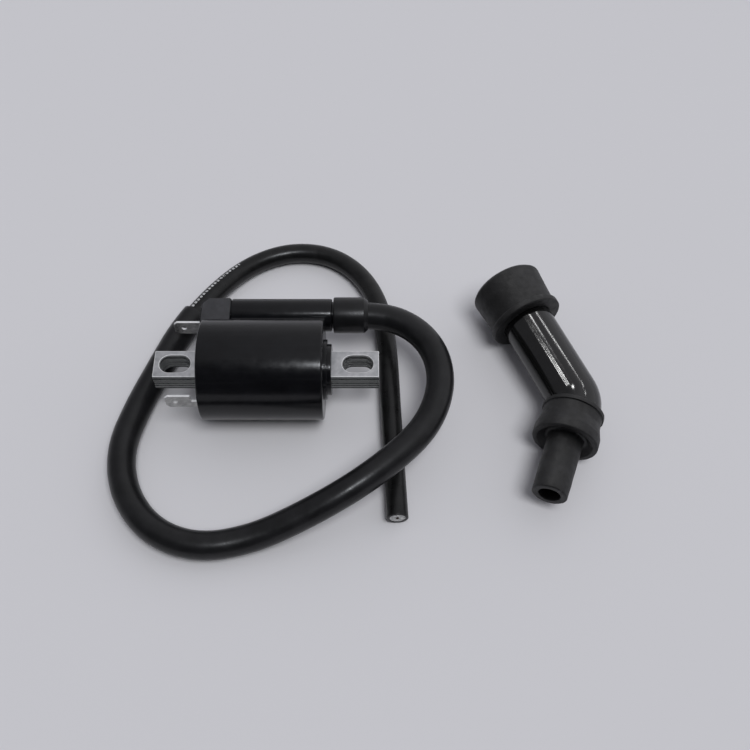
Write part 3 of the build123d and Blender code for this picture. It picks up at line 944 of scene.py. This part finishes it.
def block_ring(footprint, middle, height, inset):
    """The block's outline at one height, drawn in by an inset."""
    ring = []
    for point in footprint:
        outward = Vector((point[0] - middle.x, point[1] - middle.y, 0))
        place = Vector((point[0], point[1], height))
        ring.append(place - outward.normalized() * inset)
    return ring


def make_terminal(name, node, neck_side):
    """A spade blade on edge, with its lead-in chamfers, its hole and a narrower neck."""
    low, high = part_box(node)
    width = high.z - low.z
    thickness = high.y - low.y
    blade_end = low.x + 8.4 * MM
    half = width / 2
    tip_cut = 1.1 * MM
    neck_half = 1.6 * MM
    neck_middle = neck_side * 1.5 * MM
    fine = 0.12 * MM
    corners = [
        (high.x, neck_middle - neck_half, 0.05 * MM),
        (high.x, neck_middle + neck_half, 0.05 * MM),
        (blade_end, neck_middle + neck_half, 0.3 * MM),
        (blade_end, half, 0.35 * MM),
        (low.x + tip_cut, half, fine),
        (low.x, half - tip_cut, fine),
        (low.x, -half + tip_cut, fine),
        (low.x + tip_cut, -half, fine),
        (blade_end, -half, 0.35 * MM),
        (blade_end, neck_middle - neck_half, 0.3 * MM),
    ]
    if abs(half - (neck_middle + neck_half)) < 0.1 * MM:
        shoulder = ((blade_end, neck_middle + neck_half), (blade_end, half))
        corners = [corner for corner in corners if corner[:2] not in shoulder]
        corners[1] = (high.x, half, 0.05 * MM)
    if abs(half + (neck_middle - neck_half)) < 0.1 * MM:
        shoulder = ((blade_end, neck_middle - neck_half), (blade_end, -half))
        corners = [corner for corner in corners if corner[:2] not in shoulder]
        corners[0] = (high.x, -half, 0.05 * MM)
    outline = rounded(corners, steps=4)
    hole = circle_outline(low.x + 3.2 * MM, 0, 0.85 * MM)
    stand = Matrix.Translation((0, (low.y + high.y) / 2, (low.z + high.z) / 2))
    placement = stand @ Matrix.Rotation(radians(90), 4, "X")
    piece = plate(name, [outline, hole], thickness / 2, 0.09 * MM, placement)
    dress(piece, blade_metal, "coil", [node])
    piece.data.materials.append(edge_highlight_paint)
    # The blade's edges and bevels take the painted edge highlight.
    for face in piece.data.polygons:
        if abs(face.normal.y) < 0.95:
            face.material_index = 1
    return piece


def make_ferrule():
    """The short rubber collar where the sleeve meets the tower."""
    bore = sleeve_radius + 0.05 * MM
    outline = rounded(
        [
            (ferrule_low.x, bore, 0.15 * MM),
            (ferrule_low.x, ferrule_radius, 0.5 * MM),
            (ferrule_high.x - 1.4 * MM, ferrule_radius, 0.6 * MM),
            (ferrule_high.x, ferrule_radius - 1.2 * MM, 0.3 * MM),
            (ferrule_high.x, bore, 0.1 * MM),
        ],
        steps=6,
    )
    piece = lathe("tower_collar", Vector((0, tower_y, axis_z)), X, outline, turns=96)
    return dress(piece, sleeve_rubber, "coil", ["tower_ferrule"])


# ------------------------------------------------------------------ spark plug cap
def elbow_line():
    """Centre line of the cap's body: socket arm, bend, lead arm."""
    socket_end = 44.0 * MM
    lead_end = 12.0 * MM
    bend_radius = cap_radius + 0.3 * MM
    reach = bend_radius * tan(cap_angle / 2)
    start = cap_bend + socket_direction * reach
    inward = (lead_direction + socket_direction).normalized()
    centre = cap_bend + inward * (bend_radius / cos(cap_angle / 2))
    points = [cap_bend + socket_direction * socket_end]
    steps = 28
    first = start - centre
    spin_axis = first.cross(cap_bend + lead_direction * reach - centre).normalized()
    for step in range(steps + 1):
        turn = Matrix.Rotation(cap_angle * step / steps, 3, spin_axis)
        points.append(centre + turn @ first)
    points.append(cap_bend + lead_direction * lead_end)
    return Line(points)


def make_cap_body():
    line = elbow_line()
    end = line.length
    socket_depth = 22 * MM
    stud_start = end - 6 * MM
    lead_socket = 3.95 * MM
    stud_radius = 2.7 * MM
    plug_socket = 5.4 * MM
    plug_mouth = 5.8 * MM
    soft = 0.5 * MM
    profile = [(0, cap_radius - soft), (0.15 * MM, cap_radius - 0.15 * MM), (soft, cap_radius)]
    profile += [(distance, cap_radius) for distance in even_steps(1 * MM, end - 1 * MM, 0.8 * MM)]
    profile += [(end, cap_radius), (end, lead_socket), (stud_start, lead_socket), (stud_start, stud_radius)]
    inner = even_steps(stud_start - 1 * MM, socket_depth, 1 * MM)
    profile += [(distance, stud_radius) for distance in inner]
    profile += [(socket_depth, plug_socket), (0.4 * MM, plug_socket), (0, plug_mouth)]
    piece = tube("cap_elbow", line, profile, turns=128)
    return dress(piece, cap_plastic, "plug_cap", ["cap_body"])


def rubber_edge(place, outward):
    """Slight unevenness of a moulded rubber skin, in and out."""
    swell = noise.noise(place * 260) * 0.07 * MM
    ripple = noise.noise(place * 900) * 0.035 * MM
    return outward * (swell + ripple)


def make_plug_boot():
    """The wide rubber boot that seals on the spark plug."""
    start = boot_start
    lip_end = start + 2.2 * MM
    body_end = 44.0 * MM
    bore = 7.5 * MM
    outline = rounded(
        [
            (start, cap_radius, 0.2 * MM),
            (start, lip_radius, 0.4 * MM),
            (lip_end, lip_radius, 0.5 * MM),
            (lip_end, neck_radius, 0.3 * MM),
            (socket_arm - 1.2 * MM, mouth_radius, 1.0 * MM),
            (socket_arm, mouth_radius - 1.2 * MM, 0.6 * MM),
            (socket_arm, bore, 0.5 * MM),
            (body_end, bore, 0.1 * MM),
            (body_end, cap_radius, 0),
        ],
        steps=6,
    )
    outline = refine(outline, 1.2 * MM)
    piece = lathe("boot_plug_side", cap_bend, socket_direction, outline, turns=160, ragged=rubber_edge)
    return dress(piece, boot_rubber, "plug_cap", ["plug_boot"])


def refine(outline, longest):
    """Add points so that no stretch of an outline is longer than a given length."""
    points = []
    for index, point in enumerate(outline):
        after = outline[(index + 1) % len(outline)]
        gap = Vector(after) - Vector(point)
        count = max(1, round(gap.length / longest))
        for step in range(count):
            points.append(Vector(point) + gap * (step / count))
    return points


def make_lead_boot():
    """The rubber boot on the lead side: bead, waist, hollow skirt and nozzle."""
    start = 3.75 * MM
    collar = 9.7 * MM
    bead = 0.5 * MM
    bead_end = start + 1.6 * MM
    waist_end = 8.6 * MM
    skirt_start = 12.8 * MM
    skirt_end = 16.2 * MM
    body_end = 12.0 * MM
    bore = 3.55 * MM
    outline = rounded(
        [
            (start, cap_radius, 0.1 * MM),
            (start, collar + bead, 0.4 * MM),
            (bead_end, collar + bead, 0.4 * MM),
            (bead_end, collar, 0.3 * MM),
            (waist_end, collar, 2.5 * MM),
            (skirt_start, skirt_radius, 1.2 * MM),
            (skirt_end, skirt_radius, 0.5 * MM),
            (skirt_end, skirt_radius - 1.6 * MM, 0.4 * MM),
            (skirt_end - 2.4 * MM, 5.9 * MM, 0.8 * MM),
            (lead_arm, 5.7 * MM, 0.5 * MM),
            (lead_arm, bore, 0.4 * MM),
            (body_end, bore, 0),
            (body_end, cap_radius, 0),
        ],
        steps=6,
    )
    outline = refine(outline, 1.2 * MM)
    piece = lathe("boot_lead_side", cap_bend, lead_direction, outline, turns=144, ragged=rubber_edge)
    return dress(piece, boot_rubber, "plug_cap", ["lead_boot"])


# ------------------------------------------------------------------ floor and light
FLOOR_COLOUR = (0.64, 0.64, 0.67)
FLOOR_SUN = 1.62
WORLD_FRONT = (0.04, 0.04, 0.045)
WORLD_LEFT = (0.28, 0.28, 0.30)
WORLD_RIGHT = (0.72, 0.72, 0.75)


def make_floor():
    size = 3.0
    shape = bmesh.new()
    signs = ((-1, -1), (1, -1), (1, 1), (-1, 1))
    shape.faces.new([shape.verts.new((across * size, along * size, 0)) for across, along in signs])
    mesh = bpy.data.meshes.new("floor")
    shape.to_mesh(mesh)
    shape.free()
    floor = bpy.data.objects.new("floor", mesh)
    bpy.context.scene.collection.objects.link(floor)
    material = bpy.data.materials.new("floor")
    material.use_nodes = True
    tree = material.node_tree
    shader = tree.nodes["Principled BSDF"]
    shader.inputs["Roughness"].default_value = 0.8
    shader.inputs["Specular IOR Level"].default_value = 0.1
    clouds = grain(tree, 6, detail=3.0)
    paler = tuple(min(1, c * 1.02) for c in FLOOR_COLOUR)
    tree.links.new(blend_colours(tree, clouds, FLOOR_COLOUR, paler), shader.inputs["Base Color"])
    floor.data.materials.append(material)
    return floor


def sun(name, toward, angle, strength, receivers, colour=(1, 1, 1)):
    """A distant light that falls only on the given objects.  angle is its width in degrees."""
    data = bpy.data.lights.new(name, "SUN")
    data.angle = radians(angle)
    data.energy = strength
    data.color = colour
    light = bpy.data.objects.new(name, data)
    light.rotation_euler = Vector(toward).to_track_quat("Z", "Y").to_euler()
    bpy.context.scene.collection.objects.link(light)
    lit = bpy.data.collections.new(name + "_receivers")
    for receiver in receivers:
        lit.objects.link(receiver)
    light.light_linking.receiver_collection = lit


def make_world():
    """A studio seen from its middle: dark to the front, grey to the left, bright to the back right."""
    world = bpy.data.worlds.new("studio")
    bpy.context.scene.world = world
    world.use_nodes = True
    tree = world.node_tree
    coordinates = add_node(tree, "TexCoord")
    parts = add_node(tree, "SeparateXYZ")
    tree.links.new(coordinates.outputs["Generated"], parts.inputs["Vector"])
    rightward = remap(tree, parts.outputs["X"], -0.5, 0.25, 0, 1)
    backward = remap(tree, parts.outputs["Y"], -0.45, -0.05, 0, 1)
    wall = blend_colours(tree, rightward, WORLD_LEFT, WORLD_RIGHT)
    colour = blend_colours(tree, backward, WORLD_FRONT, wall)
    tree.links.new(colour, tree.nodes["Background"].inputs["Color"])


def make_light(coil, cap, floor):
    make_world()
    # The floor's own light comes from above the camera, so most of each shadow is hidden.
    sun("floor_sun", (0.22, -0.29, 0.93), 28, FLOOR_SUN, [floor])
    # In front of and above the coil: the line along the housing.
    sun("coil_key", (0.14, -0.36, 0.93), 3, 1.2, coil, (0.92, 0.95, 1))
    # Rows of small lights draw the streaks on the cap: a wide one, a narrow one, and one at the bend.
    wide = ((-0.19, 0.37, 0.908), (-0.14, 0.377, 0.915), (-0.10, 0.38, 0.92))
    narrow = (
        (0.33, 0.56, 0.76),
        (0.38, 0.56, 0.74),
        (0.43, 0.555, 0.71),
        (0.50, 0.51, 0.70),
        (0.58, 0.44, 0.69),
    )
    bend = ((-0.45, 0.14, 0.88), (-0.36, 0.17, 0.915), (-0.28, 0.21, 0.94))
    for name, places, angle, strength in (
        ("cap_wide", wide, 4.2, 0.10),
        ("cap_narrow", narrow, 2.2, 0.03),
        ("cap_bend", bend, 2.4, 0.06),
    ):
        for index, toward in enumerate(places):
            sun(f"{name}_{index + 1}", toward, angle, strength, cap)


coil_pieces = [make_sleeve(), *make_lead()]
finish_cad_nodes()
coil_pieces += make_core()
coil_pieces += [
    make_housing(),
    make_terminal("blade_feed", "feed_terminal", 1),
    make_terminal("blade_ground", "ground_terminal", -1),
    make_ferrule(),
]
cap_pieces = [make_cap_body(), make_plug_boot(), make_lead_boot()]
make_light(coil_pieces, cap_pieces, make_floor())

bpy.context.scene.view_settings.view_transform = "Standard"
